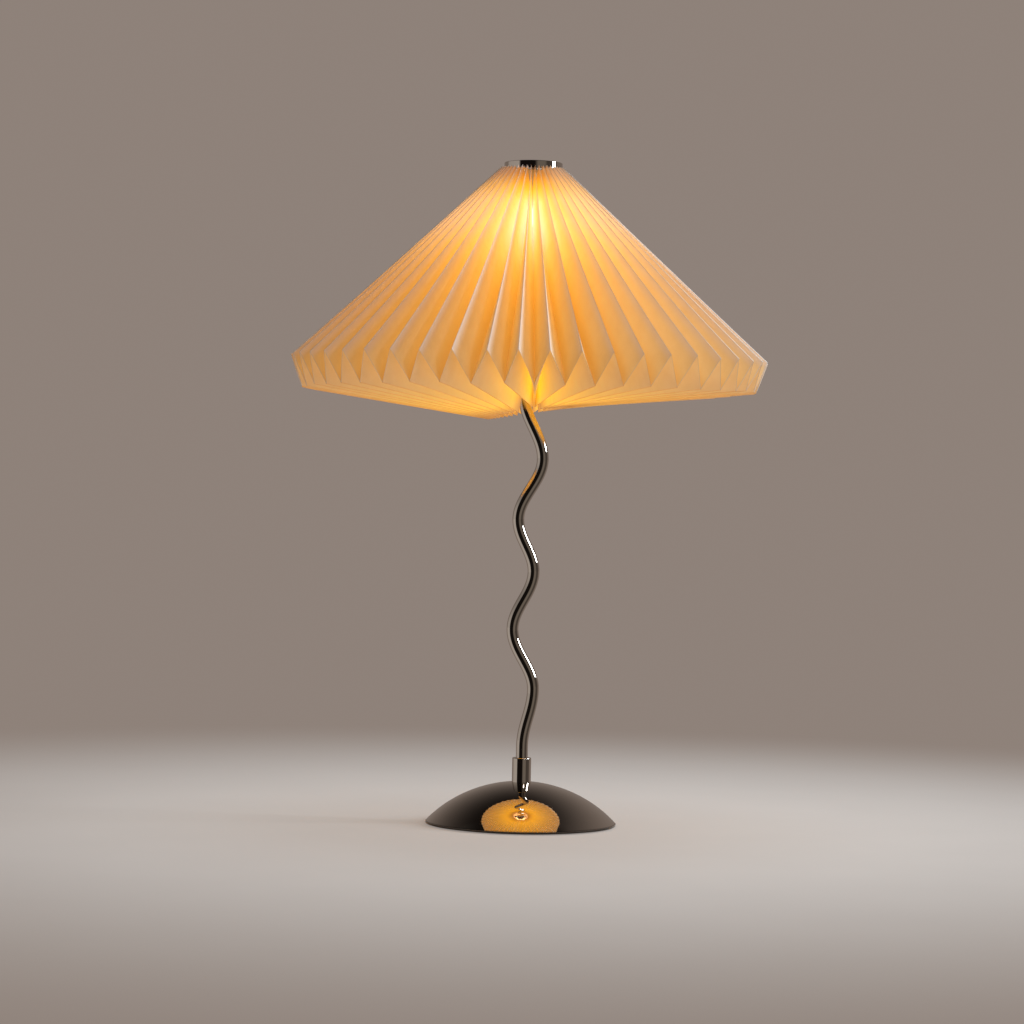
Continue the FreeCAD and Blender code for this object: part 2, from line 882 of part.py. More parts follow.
def shade_stations():
    """Sections across the folded strip: those of the cone, and those of its turned-under part.

    Each holds (ridge, valley) places in their meridian planes, the direction of the paper's
    outer side, and how far its outer and inner skins stand off at the ridge and the valley.
    The rim crease, where the ridge ends before the valley does, belongs to both.
    """
    width = size("pleat_width").value
    half = size("paper_thickness").value / 2
    chord = math.sin(pleat_angle)
    tilt = math.radians(slope.value)
    along = (math.cos(tilt), -math.sin(tilt))
    outer = (math.sin(tilt), math.cos(tilt))
    top = (size("gather_radius").value, shade_top.value)
    length = (size("rim_radius").value - top[0]) / along[0]

    def upper(distance):
        ridge = (top[0] + along[0] * distance, top[1] + along[1] * distance)
        depth = pleat_depth(ridge[0], outer[0])
        return ridge, (ridge[0] - depth * outer[0], ridge[1] - depth * outer[1])

    def skins(convex_radius, concave_radius):
        """Stand-off of the two skins at the outer fold and at the inner fold."""
        sharp = half * width / chord
        return (half, sharp / concave_radius), (sharp / convex_radius, half)

    cone = []
    for distance in [0.0] + [size(f"station_{letter}").value for letter in "abcde"]:
        ridge, valley = upper(distance)
        cone.append((ridge, valley, outer) + skins(ridge[0], valley[0]))
    rim, under_rim = upper(length)
    lead = size("crease_lead").value
    corner = (under_rim[0] + lead * along[0], under_rim[1] + lead * along[1])
    fall = math.radians(size("underside_angle").value)
    below = (math.sin(fall), -math.cos(fall))
    bisector = FreeCAD.Vector(outer[0] + below[0], outer[1] + below[1], 0).normalize()
    thick = size("crease_thickness").value / 2
    crease = (rim, corner, (bisector.x, bisector.y), (thick, thick), (thick, thick))
    hole = size("hole_radius").value
    low = (hole, corner[1] - (corner[0] - hole) * math.tan(fall))
    depth = pleat_depth(hole, below[0])
    high = (low[0] - depth * below[0], low[1] - depth * below[1])
    underside = []
    spans = int(size("underside_spans").value)
    for step in range(1, spans + 1):
        share = step / spans
        ridge = (rim[0] + (high[0] - rim[0]) * share, rim[1] + (high[1] - rim[1]) * share)
        valley = (corner[0] + (low[0] - corner[0]) * share, corner[1] + (low[1] - corner[1]) * share)
        lower_fold, upper_fold = skins(valley[0], ridge[0])
        underside.append((ridge, valley, below, upper_fold, lower_fold))
    return cone + [crease], [crease] + underside


def facets(a, b, c, d):
    """A four-cornered patch as two flat faces that meet along a-c."""
    return [Part.Face(Part.makePolygon([a, b, c, a])), Part.Face(Part.makePolygon([a, c, d, a]))]


def folded_strip(name, stations, first_azimuth, pleats):
    """A length of pleated paper from valley to valley, between the first and the last station."""
    outside = []
    inside = []
    last = 2 * pleats
    for ridge, valley, direction, ridge_skin, valley_skin in stations:
        rows = ([], [])
        for fold in range(last + 1):
            azimuth = first_azimuth + fold * pleat_angle
            place, skin = (ridge, ridge_skin) if fold % 2 else (valley, valley_skin)
            rows[0].append(meridian_point(place, skin[0], direction, azimuth))
            rows[1].append(meridian_point(place, -skin[1], direction, azimuth))
        outside.append(rows[0])
        inside.append(rows[1])
    faces = []
    for span in range(len(stations) - 1):
        for skin in (outside, inside):
            above, under = skin[span], skin[span + 1]
            for fold in range(last):
                near, far = (fold + 1, fold) if fold % 2 else (fold, fold + 1)
                faces += facets(above[near], under[near], under[far], above[far])
        for fold in (0, last):
            faces += facets(outside[span][fold], outside[span + 1][fold],
                            inside[span + 1][fold], inside[span][fold])
    for row in (0, -1):
        for fold in range(last):
            faces += facets(outside[row][fold], outside[row][fold + 1],
                            inside[row][fold + 1], inside[row][fold])
    shell = Part.makeShell(faces)
    shell.sewShape()
    solid = Part.makeSolid(shell)
    if solid.Volume < 0:
        solid.reverse()
    feature(name, solid)


def shade_panels():
    """The strip comes in like lengths, glued end to end in a valley and creased at the rim."""
    panels = int(size("panel_count").value)
    pleats = int(size("pleat_count").value) // panels
    cone, underside = shade_stations()
    start = math.radians(size("seam_angle").value)
    for index, place in enumerate(PANEL_PLACES):
        azimuth = start + index * 2 * pleats * pleat_angle
        folded_strip("shade_panel_" + place, cone, azimuth, pleats)
        folded_strip("shade_underside_" + place, underside, azimuth, pleats)


# ---------------------------------------------------------------- top of the shade

def top_ring():
    """Polished band that sits in the gathered ends of the pleats."""
    top = ring_bottom + size("ring_height")
    inside = size("ring_radius") - size("ring_wall")
    body = turned("top_ring", [
        (inside, ring_bottom),
        (size("ring_radius"), ring_bottom),
        (size("ring_radius"), top),
        (inside, top),
    ])
    rounded(body, "ring_rounding", [(size("ring_radius"), top), (inside, top)], size("ring_round"))


def top_spider():
    """Stamped plate in the ring: a hub on the bush and its arms."""
    hub_hole = size("bush_radius") + size("bore_gap")
    thickness = size("spider_thickness")
    place = (0, 0, spider_bottom)
    reach = size("ring_radius") - size("ring_wall") - size("bore_gap")
    half = size("spider_arm_width") / 2
    hub = cylinder("spider_hub", size("spider_hub_radius"), thickness, place)
    arms = []
    for index in range(int(size("spider_arm_count").value)):
        arm = box(f"spider_arm_{index + 1}", root(reach * reach - half * half), size("spider_arm_width"),
                  thickness, (0, 0, spider_bottom))
        turn = FreeCAD.Rotation(FreeCAD.Vector(0, 0, 1), 360.0 * index / size("spider_arm_count").value)
        arm.Placement.Rotation = turn
        aside = turn.multVec(FreeCAD.Vector(0, -1, 0))
        bind(arm, "Placement.Base.x", half * aside.x)
        bind(arm, "Placement.Base.y", half * aside.y)
        arms.append(arm)
    hole = cylinder("spider_hole", hub_hole, thickness, place)
    cut("top_spider", fuse("spider_plate", [hub] + arms), hole)


def nut_washer():
    thickness = size("nut_washer_thickness")
    place = (0, 0, nut_washer_bottom)
    disc = cylinder("nut_washer_disc", size("nut_washer_radius"), thickness, place)
    hole = cylinder("nut_washer_hole", size("stud_radius") + size("bore_gap"), thickness, place)
    cut("nut_washer", disc, hole)


def shade_nut():
    """Low round nut on the stud, sunk in the ring."""
    radius = size("shade_nut_radius")
    chamfer = size("shade_nut_chamfer")
    turned("shade_nut", [
        (size("stud_radius") + size("bore_gap"), shade_nut_bottom),
        (radius, shade_nut_bottom),
        (radius, shade_nut_top - chamfer),
        (radius - chamfer, shade_nut_top),
        (size("stud_radius") + size("bore_gap"), shade_nut_top),
    ])


# ---------------------------------------------------------------- build and write

SINGLE_PARTS = [
    base_dome, base_weight, base_pad, cord_inlet, terminal_block,
    stem_collar, stem_tube, stem_washer, stem_nuts, lamp_lead,
    harp_saddle, harp_wire, harp_stud,
    socket_cap, socket_sleeve, socket_core, socket_shell, socket_contact, terminal_screws,
    bulb_contact, bulb_insulator, bulb_cap, bulb_housing, led_board, bulb_globe,
    shade_bush, shade_carrier, top_ring, top_spider, nut_washer, shade_nut,
]
PANEL_PLACES = ["front_right", "back_right", "back_left", "front_left"]
STRIP_NAMES = [kind + place for kind in ("shade_panel_", "shade_underside_") for place in PANEL_PLACES]

for make in SINGLE_PARTS:
    make()
shade_panels()
doc.recompute()

for thing in doc.Objects:
    assert "Invalid" not in thing.State and "Error" not in thing.State, f"{thing.Name} failed"

os.makedirs("parts", exist_ok=True)
for name in [make.__name__ for make in SINGLE_PARTS] + STRIP_NAMES:
    part = doc.getObject(name)
    part.Label = name
    shape = part.Shape
    assert not shape.isNull() and shape.isValid(), f"{name} has no valid shape"
    assert shape.Solids and shape.Volume > 0, f"{name} is no solid"
    shape.exportStep(f"parts/{name}.step")
print("shade: top", round(shade_top.value, 2), "ring top", round((ring_bottom + size("ring_height")).value, 2),
      "stud top", round(stud_top.value, 2))
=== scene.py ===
"""Pleated paper table lamp, dressed: its paper, metal and fittings, the floor, light and camera."""
import bpy
import json
import math
import random
from mathutils import Matrix, Vector


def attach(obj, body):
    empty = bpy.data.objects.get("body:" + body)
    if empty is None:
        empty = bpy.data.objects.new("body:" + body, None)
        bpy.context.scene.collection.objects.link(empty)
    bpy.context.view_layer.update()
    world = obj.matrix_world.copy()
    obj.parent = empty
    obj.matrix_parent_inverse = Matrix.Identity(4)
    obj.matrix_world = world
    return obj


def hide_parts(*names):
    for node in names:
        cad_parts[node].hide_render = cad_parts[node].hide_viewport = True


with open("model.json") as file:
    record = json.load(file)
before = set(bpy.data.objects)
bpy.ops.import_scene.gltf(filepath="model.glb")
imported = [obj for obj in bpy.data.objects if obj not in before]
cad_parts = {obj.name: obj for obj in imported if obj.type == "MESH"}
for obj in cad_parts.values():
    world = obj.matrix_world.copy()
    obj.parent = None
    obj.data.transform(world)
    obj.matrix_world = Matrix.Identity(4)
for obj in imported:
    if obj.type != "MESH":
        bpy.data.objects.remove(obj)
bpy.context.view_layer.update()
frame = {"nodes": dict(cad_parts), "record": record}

nodes_of_frame = frame["nodes"]

# ---------------------------------------------------------------- sizes of the shade, in metres

PLEATS = 48
FOLDS = 2 * PLEATS
FOLD_ANGLE = math.pi / PLEATS
PLEAT_WIDTH = 0.0282
SLOPE = math.radians(43.4)
UNDERSIDE = math.radians(7.0)
TOP_RADIUS = 0.027
TOP_HEIGHT = 0.55148
RIM_RADIUS = 0.200
CREASE_LEAD = 0.0107
HOLE_RADIUS = 0.034
SLOPE_LENGTH = (RIM_RADIUS - TOP_RADIUS) / math.cos(SLOPE)
UNDER_LENGTH = 0.165
STRIP_LENGTH = SLOPE_LENGTH + UNDER_LENGTH

# the seam faces the front, a little to the right
SEAM_TURN = math.radians(0.9)
# how far the edge of the hole is lifted, and how much more at its right than in the middle
HOLE_LIFT = 0.003
HOLE_TILT = 0.006
# how much higher the rim's ridges and valleys stand at the sides and back, as (everywhere, and
# what the far right has on top of that)
RIDGE_RISE = (0.0028, -0.0006)
VALLEY_RISE = (0.0024, 0.0011)
# how far the paper's top edge is set to the right of the axis
TOP_SHIFT = -0.0008
# how far the pleat ends beside the seam are drawn across and up, by fold counted from the seam
SEAM_PULL = {-3: (0.0015, 0.001), -2: (0.0070, 0.0040), -1: (0.0055, 0.0040), 0: (0.0045, 0.0045),
             1: (0.0025, 0.0030), 2: (0.0, 0.0025), 3: (0.0, 0.001)}
# how far single folds stand off their even spacing, in degrees, by fold counted from the seam
UNEVEN = {-16: -0.5, -15: -0.38, -14: -0.64, -13: -0.6, -12: -0.83, -11: -0.77, -10: -1.1,
          -9: -0.61, -8: -0.62, -7: -0.57, -6: -0.12, -3: 0.62, -2: 0.54, -1: 0.14,
          1: -0.44, 2: -0.32, 3: -0.7, 4: -0.58, 5: -0.89, 6: -1.0, 7: -1.0, 8: -1.18,
          9: -1.46, 10: -0.8, 11: -0.86, 12: -0.57, 13: -0.6}

# ---------------------------------------------------------------- colours

WARM = (1.0, 0.66, 0.34)
SKY = (0.17, 0.155, 0.145)
WALL = (0.272, 0.222, 0.193)
DARK = (0.009, 0.007, 0.006)
FLOOR = (0.76, 0.735, 0.715)
FLOOR_LIFT = (0.56, 0.50, 0.46)

# what shiny parts see of the room, by bearing in degrees from the lamp's front to its right
ROOM = [(-180, WALL), (-122, WALL), (-112, (0.50, 0.45, 0.41)), (-60, (0.56, 0.51, 0.47)),
        (-53, DARK), (6, DARK), (18, (0.21, 0.18, 0.15)), (46, (0.21, 0.18, 0.15)),
        (56, (0.08, 0.065, 0.055)), (94, (0.10, 0.082, 0.068)), (110, WALL), (180, WALL)]

# the glow of the lit paper by metres along the strip, from the top edge over the rim to the hole
GLOW_STOPS = [
    (0.000, (0.24, 0.09, 0.006)),
    (0.012, (0.42, 0.18, 0.008)),
    (0.027, (0.72, 0.43, 0.06)),
    (0.044, (0.86, 0.58, 0.44)),
    (0.072, (0.84, 0.54, 0.42)),
    (0.098, (0.73, 0.41, 0.11)),
    (0.122, (0.57, 0.283, 0.024)),
    (0.150, (0.47, 0.217, 0.006)),
    (0.180, (0.40, 0.182, 0.004)),
    (0.236, (0.31, 0.145, 0.004)),
    (0.240, (0.27, 0.130, 0.022)),
    (0.285, (0.35, 0.185, 0.022)),
    (0.320, (0.44, 0.240, 0.014)),
    (0.375, (0.66, 0.360, 0.010)),
    (0.402, (0.28, 0.115, 0.008)),
]
GLOW = [(place / STRIP_LENGTH, colour) for place, colour in GLOW_STOPS]
# how much of that glow shows across the upper pleats, from the valley at 0 to the ridge at 1
GLOW_ACROSS = [(0.0, (0.95, 0.84, 1.0)), (0.3, (0.98, 0.90, 0.72)), (0.7, (0.84, 0.74, 0.19)),
               (1.0, (0.42, 0.33, 0.20))]

# most of a noise texture lies between these two
NOISE = (0.3, 0.7)


# ---------------------------------------------------------------- node helpers

class Graph:
    """A node tree with short calls for the nodes that the finishes and the world share."""

    def __init__(self, tree):
        self.tree = tree

    def node(self, kind, **settings):
        made = self.tree.nodes.new(kind)
        for key, value in settings.items():
            setattr(made, key, value)
        return made

    def link(self, source, target):
        self.tree.links.new(source, target)

    def feed(self, socket, value):
        """Sets a socket to a number or a colour, or links another socket to it."""
        if isinstance(value, (int, float)):
            socket.default_value = value
        elif isinstance(value, tuple):
            socket.default_value = (*value, 1.0)
        else:
            self.link(value, socket)

    def split(self, vector):
        """The X, Y and Z of a vector socket."""
        made = self.node("ShaderNodeSeparateXYZ")
        self.link(vector, made.inputs["Vector"])
        return made.outputs["X"], made.outputs["Y"], made.outputs["Z"]

    def ramp(self, source, stops):
        """A colour ramp; stops are (place, colour)."""
        made = self.node("ShaderNodeValToRGB")
        elements = made.color_ramp.elements
        while len(elements) < len(stops):
            elements.new(0.5)
        for element, (place, colour) in zip(elements, stops):
            element.position = place
            element.color = (*colour, 1.0)
        self.link(source, made.inputs["Fac"])
        return made.outputs["Color"]

    def span(self, source, low, high, to_low, to_high, smooth=False):
        """A value whose span from low to high becomes to_low to to_high, held level outside it."""
        made = self.node("ShaderNodeMapRange")
        if smooth:
            made.interpolation_type = "SMOOTHSTEP"
        keys = ("From Min", "From Max", "To Min", "To Max")
        for key, value in zip(keys, (low, high, to_low, to_high)):
            made.inputs[key].default_value = value
        self.link(source, made.inputs["Value"])
        return made.outputs["Result"]

    def math(self, operation, *values):
        made = self.node("ShaderNodeMath", operation=operation)
        for socket, value in zip(made.inputs, values):
            self.feed(socket, value)
        return made.outputs["Value"]

    def emit(self, kind, colour):
        """An emission or background shader of that colour."""
        made = self.node(kind)
        self.feed(made.inputs["Color"], colour)
        return made.outputs[0]

    def blend(self, share, first, second):
        """A mix of two shaders, with that share of the second."""
        made = self.node("ShaderNodeMixShader")
        self.feed(made.inputs["Fac"], share)
        self.link(first, made.inputs[1])
        self.link(second, made.inputs[2])
        return made.outputs["Shader"]


class Shader(Graph):
    """A material built round one Principled shader."""

    def __init__(self, name):
        self.material = bpy.data.materials.new(name)
        self.material.use_nodes = True
        super().__init__(self.material.node_tree)
        self.surface = self.tree.nodes["Principled BSDF"]
        self.output = self.tree.nodes["Material Output"]

    def set(self, **values):
        for key, value in values.items():
            self.surface.inputs[key.replace("_", " ")].default_value = value
        return self

    def place(self, scale=(1, 1, 1)):
        """Object coordinates in metres, stretched by scale."""
        source = self.node("ShaderNodeTexCoord")
        return self.stretch(source.outputs["Object"], scale)

    def stretch(self, vector, scale):
        mapping = self.node("ShaderNodeMapping")
        mapping.inputs["Scale"].default_value = scale
        self.link(vector, mapping.inputs["Vector"])
        return mapping.outputs["Vector"]

    def noise(self, where, scale, detail=3.0, roughness=0.5, distortion=0.0):
        made = self.node("ShaderNodeTexNoise")
        made.inputs["Scale"].default_value = scale
        made.inputs["Detail"].default_value = detail
        made.inputs["Roughness"].default_value = roughness
        made.inputs["Distortion"].default_value = distortion
        self.link(where, made.inputs["Vector"])
        return made.outputs["Fac"]

    def tint(self, noise, dark, light, limits=NOISE):
        """A noise as colours from dark to light."""
        return self.ramp(noise, list(zip(limits, (dark, light))))

    def mix(self, share, a, b, blend="MIX"):
        """A mix of two colours, with that share of b."""
        made = self.node("ShaderNodeMix", data_type="RGBA", blend_type=blend)
        # a mix node has one set of sockets for each type of data; these are the colour's
        for socket, value in ((made.inputs[0], share), (made.inputs[6], a), (made.inputs[7], b)):
            self.feed(socket, value)
        return made.outputs[2]

    def bump(self, height, strength, distance=0.001):
        made = self.node("ShaderNodeBump")
        made.inputs["Strength"].default_value = strength
        made.inputs["Distance"].default_value = distance
        self.link(height, made.inputs["Height"])
        self.link(made.outputs["Normal"], self.surface.inputs["Normal"])
        return made.outputs["Normal"]

    def colour(self, source):
        self.link(source, self.surface.inputs["Base Color"])

    def rough(self, source):
        self.link(source, self.surface.inputs["Roughness"])


# ---------------------------------------------------------------- finishes

def dark_nickel():
    """Polished dark nickel with faint smears and wipe marks, and a painted shadow darkening the
    foot's lowest edge.
    """
    m = Shader("dark_nickel").set(Metallic=1.0)
    where = m.place()
    plate = m.tint(m.noise(where, 14.0, 4.0, 0.55), (0.56, 0.51, 0.46), (0.62, 0.57, 0.52))
    height = m.split(where)[2]
    # painted shadow: the metal is darkened over its lowest few millimetres, in place of the shade
    # in the gap under the foot's rim
    painted_shadow_edge = m.span(height, 0.0022, 0.0034, 1.0, 0.0)
    m.colour(m.mix(painted_shadow_edge, plate, (0.05, 0.042, 0.036)))
    wiped = m.noise(m.place((1, 1, 0.12)), 900.0, 2.0)
    smear = m.noise(where, 45.0, 3.0, 0.6)
    smeared = m.span(smear, 0.45, 0.75, 0.0, 0.05)
    m.rough(m.math("ADD", m.span(wiped, *NOISE, 0.018, 0.04), smeared))
    m.bump(m.noise(where, 160.0, 2.0), 0.015, 0.0004)
    return m.material


def paper():
    """Lit shade paper: fibres, soft mottle, pale crease lines, the bulb's light painted in as a
    warm glow, a painted highlight near the ridges and painted shade deep in the pleats.
    """
    m = Shader("shade_paper").set(Roughness=0.62, Sheen_Weight=0.05, Emission_Strength=1.0,
                                  Specular_IOR_Level=0.25)
    # Fold holds the metres along the strip and the share across a pleat; Strip is the flat strip
    fold = m.node("ShaderNodeUVMap", uv_map="Fold").outputs["UV"]
    length, across, _ = m.split(fold)
    strip = m.node("ShaderNodeUVMap", uv_map="Strip").outputs["UV"]
    fibre = m.noise(m.stretch(strip, (0.35, 1.0, 1.0)), 2600.0, 3.0, 0.6, 0.4)
    mottle = m.noise(strip, 90.0, 4.0, 0.6)
    tone = m.math("ADD", m.math("MULTIPLY", fibre, 0.35), m.math("MULTIPLY", mottle, 0.65))

    # masks: the cone above the rim, and the creases, valleys and tips of its pleats
    upper = m.span(length, SLOPE_LENGTH - 0.0001, SLOPE_LENGTH + 0.0001, 1.0, 0.0)
    ridge = m.span(across, 0.978, 0.991, 0.0, 1.0, True)
    valley = m.span(across, 0.010, 0.028, 1.0, 0.0, True)
    from_rim = m.math("ABSOLUTE", m.math("SUBTRACT", length, SLOPE_LENGTH))
    rim = m.span(from_rim, 0.0002, 0.0007, 1.0, 0.0, True)
    crease = m.math("MAXIMUM", m.math("MULTIPLY", ridge, upper), rim)
    # painted highlight: the base colour turns paler over the outer part of each face next to a
    # ridge, where side light catches the folds
    painted_ridge_highlight = m.math("MULTIPLY", m.span(across, 0.72, 0.97, 0.0, 1.0, True), upper)
    # painted shade: the base colour darkens deep in each pleat towards its valley
    painted_pleat_shade = m.math("MULTIPLY", m.span(across, 0.0, 0.5, 0.85, 0.0, True), upper)
    painted_valley_shade = m.math("MULTIPLY", painted_pleat_shade, m.span(length, 0.12, 0.22, 0.0, 1.0))

    front = m.tint(tone, (0.66, 0.58, 0.40), (0.73, 0.66, 0.47))
    front = m.mix(painted_ridge_highlight, front, (0.76, 0.72, 0.67))
    front = m.mix(upper, m.tint(tone, (0.66, 0.58, 0.44), (0.72, 0.65, 0.51)), front)
    front = m.mix(painted_pleat_shade, front, (0.56, 0.43, 0.24))
    front = m.mix(crease, front, (0.84, 0.81, 0.78))
    # painted shade: darker still along the valley line itself
    front = m.mix(valley, front, (0.60, 0.42, 0.25))
    m.colour(front)

    # the valleys hang nearer to the bulb than the ridges, so their hot zone starts higher up
    fade = m.math("POWER", m.span(length, 0.0, SLOPE_LENGTH, 1.0, 0.0), 2.0)
    lead = m.math("MULTIPLY", m.math("MULTIPLY", m.math("SUBTRACT", 1.0, across), fade), 0.024)
    glow = m.ramp(m.span(m.math("ADD", length, lead), 0.0, STRIP_LENGTH, 0.0, 1.0), GLOW)
    share = m.mix(upper, (1.0, 1.0, 1.0), m.ramp(across, GLOW_ACROSS))
    glow = m.mix(1.0, glow, share, "MULTIPLY")
    glow = m.mix(1.0, glow, m.tint(tone, (0.95, 0.94, 0.92), (1.0, 1.0, 1.0)), "MULTIPLY")
    # painted shade in the glow: darker low in the valleys, along the creases and along the valley
    # lines
    glow = m.mix(painted_valley_shade, glow, (0.30, 0.115, 0.003))
    glow = m.mix(crease, glow, (0.12, 0.075, 0.042))
    glow = m.mix(m.math("MULTIPLY", valley, 0.5), glow, (0.42, 0.15, 0.02))

    # where the strip's ends overlap, painted into the glow: an amber spot, a bright slit of bulb
    # light below it, and painted shade on the underside
    _, along_strip, _ = m.split(strip)
    to_last = m.math("SUBTRACT", FOLDS * PLEAT_WIDTH, along_strip)
    from_end = m.math("MINIMUM", along_strip, to_last)
    taper = m.math("ADD", from_end, m.math("MULTIPLY", m.math("ABSOLUTE", length), 0.28))
    spot = m.math("MULTIPLY", m.span(taper, 0.0036, 0.0054, 1.0, 0.0, True), upper)
    glow = m.mix(spot, glow, (0.95, 0.36, 0.012))
    slit_start = m.span(length, 0.024, 0.027, 0.0, 1.0, True)
    slit_end = m.span(length, 0.046, 0.051, 1.0, 0.0, True)
    within = m.math("MULTIPLY", slit_start, slit_end)
    slit = m.math("MULTIPLY", m.span(from_end, 0.0032, 0.0050, 1.0, 0.0, True), within)
    glow = m.mix(slit, glow, (0.97, 0.94, 0.86))
    beside_end = m.span(from_end, 0.001, 0.005, 0.6, 0.0, True)
    overlap = m.math("MULTIPLY", beside_end, m.math("SUBTRACT", 1.0, upper))
    glow = m.mix(overlap, glow, (0.24, 0.085, 0.004))
    m.link(glow, m.surface.inputs["Emission Color"])

    # light from behind shines through
    through = m.tint(tone, (0.90, 0.72, 0.46), (0.96, 0.80, 0.55))
    translucent = m.node("ShaderNodeBsdfTranslucent")
    m.link(m.mix(crease, through, (0.30, 0.22, 0.15)), translucent.inputs["Color"])
    both = m.blend(0.28, m.surface.outputs["BSDF"], translucent.outputs["BSDF"])
    m.link(both, m.output.inputs["Surface"])
    normal = m.bump(m.math("ADD", fibre, m.math("MULTIPLY", mottle, 3.0)), 0.25, 0.00006)
    m.link(normal, translucent.inputs["Normal"])
    m.material.cycles.emission_sampling = "NONE"
    return m.material


def soft_plastic(name, dark, light, roughness, grain=900.0):
    """Moulded plastic with a fine grain."""
    m = Shader(name)
    where = m.place()
    m.colour(m.tint(m.noise(where, 60.0, 3.0), dark, light, (0.35, 0.65)))
    fine = m.noise(where, grain, 2.0)
    m.rough(m.span(fine, *NOISE, roughness - 0.05, roughness + 0.07))
    m.bump(fine, 0.15, 0.0001)
    return m.material


def plain_metal(name, dark, light, roughness, scratch=(1, 1, 0.05)):
    """Bare or plated metal with drawn scratches."""
    m = Shader(name).set(Metallic=1.0)
    drawn = m.noise(m.place(scratch), 1400.0, 3.0, 0.6)
    m.colour(m.tint(m.noise(m.place(), 35.0, 4.0), dark, light, (0.35, 0.68)))
    m.rough(m.span(drawn, *NOISE, roughness - 0.07, roughness + 0.09))
    m.bump(drawn, 0.12, 0.0001)
    return m.material


def cast_iron():
    m = Shader("cast_iron").set(Metallic=0.85)
    grain = m.noise(m.place(), 420.0, 5.0, 0.65)
    m.colour(m.tint(grain, (0.05, 0.048, 0.046), (0.12, 0.115, 0.11)))
    m.rough(m.span(grain, *NOISE, 0.5, 0.8))
    m.bump(grain, 0.5, 0.0005)
    return m.material


def felt():
    m = Shader("felt").set(Roughness=0.95, Sheen_Weight=0.5)
    fibre = m.noise(m.place(), 1600.0, 4.0, 0.7, 1.2)
    m.colour(m.tint(fibre, (0.018, 0.018, 0.020), (0.055, 0.053, 0.055)))
    m.bump(fibre, 0.8, 0.0006)
    return m.material


def porcelain():
    m = Shader("porcelain").set(Coat_Weight=0.6, Coat_Roughness=0.08)
    cloud = m.noise(m.place(), 120.0, 3.0)
    m.colour(m.tint(cloud, (0.74, 0.71, 0.65), (0.82, 0.80, 0.76)))
    m.rough(m.span(cloud, *NOISE, 0.22, 0.34))
    return m.material


def board_lacquer():
    m = Shader("board_lacquer")
    cloud = m.noise(m.place(), 500.0, 2.0)
    m.colour(m.tint(cloud, (0.72, 0.73, 0.70), (0.82, 0.82, 0.80), (0.35, 0.65)))
    m.rough(m.span(cloud, *NOISE, 0.3, 0.42))
    return m.material


def bulb_glass():
    """The lit frosted globe: amber at its neck, paler towards its top, with a fine frost."""
    m = Shader("bulb_glass").set(Roughness=0.35)
    where = m.place()
    frost = m.noise(where, 1500.0, 2.0)
    m.colour(m.tint(frost, (0.90, 0.85, 0.76), (0.96, 0.92, 0.84)))
    up_globe = m.span(m.split(where)[2], 0.458, 0.485, 0.0, 1.0)
    glow = m.tint(up_globe, (1.0, 0.52, 0.18), (1.0, 0.74, 0.38), (0.0, 1.0))
    m.link(glow, m.surface.inputs["Emission Color"])
    m.set(Emission_Strength=6.0)
    m.bump(frost, 0.1, 0.0001)
    m.material.cycles.emission_sampling = "NONE"
    return m.material


finishes = {
    "polished_metal": dark_nickel(),
    "cast_iron": cast_iron(),
    "felt": felt(),
    "black_plastic": soft_plastic(
        "black_plastic", (0.022, 0.021, 0.020), (0.038, 0.036, 0.034), 0.42),
    "white_plastic": soft_plastic(
        "white_plastic", (0.72, 0.70, 0.66), (0.80, 0.78, 0.74), 0.40),
    "zinc_steel": plain_metal("zinc_steel", (0.50, 0.49, 0.46), (0.62, 0.60, 0.57), 0.30),
    "lead_sheath": soft_plastic(
        "lead_sheath", (0.10, 0.095, 0.09), (0.15, 0.14, 0.13), 0.55, grain=1600.0),
    "porcelain": porcelain(),
    "brass": plain_metal("brass", (0.60, 0.42, 0.17), (0.74, 0.55, 0.26), 0.28),
    "nickel": plain_metal(
        "nickel", (0.58, 0.55, 0.50), (0.68, 0.65, 0.60), 0.25, scratch=(0.05, 0.05, 1)),
    "black_glass": soft_plastic("black_glass", (0.010, 0.010, 0.012), (0.02, 0.02, 0.024), 0.12),
    "board": board_lacquer(),
    "frosted_glass": bulb_glass(),
    "nylon": soft_plastic("nylon", (0.70, 0.69, 0.65), (0.78, 0.77, 0.73), 0.45),
    "white_paint": soft_plastic(
        "white_paint", (0.74, 0.73, 0.70), (0.82, 0.81, 0.78), 0.38, grain=500.0),
    "paper": paper(),
}


def dress_frame():
    """Gives each carried-over node the finish of its slot."""
    slot_of = {part["node"]: part["material_slot"] for part in frame["record"]["subparts"]}
    for name, thing in nodes_of_frame.items():
        thing.data.materials.clear()
        thing.data.materials.append(finishes[slot_of[name]])


# ---------------------------------------------------------------- paper shade

# directions in the plane through the axis, as (outwards, up): down the cone, square to the cone
# and out of it, and square to the underside and out of it
ALONG = (math.cos(SLOPE), -math.sin(SLOPE))
OUTER = (math.sin(SLOPE), math.cos(SLOPE))
BELOW = (math.sin(UNDERSIDE), -math.cos(UNDERSIDE))


def pleat_depth(ridge_radius, tilt):
    """Depth of a pleat that keeps its width, where tilt is the outward share of its depth."""
    valley_radius = ridge_radius - PLEAT_WIDTH * tilt
    chord = 4 * ridge_radius * valley_radius * math.sin(FOLD_ANGLE / 2) ** 2
    return math.sqrt(PLEAT_WIDTH ** 2 - chord)


def ridge_place(distance):
    """Radius and height of a ridge at a distance down the cone."""
    return TOP_RADIUS + ALONG[0] * distance, TOP_HEIGHT + ALONG[1] * distance


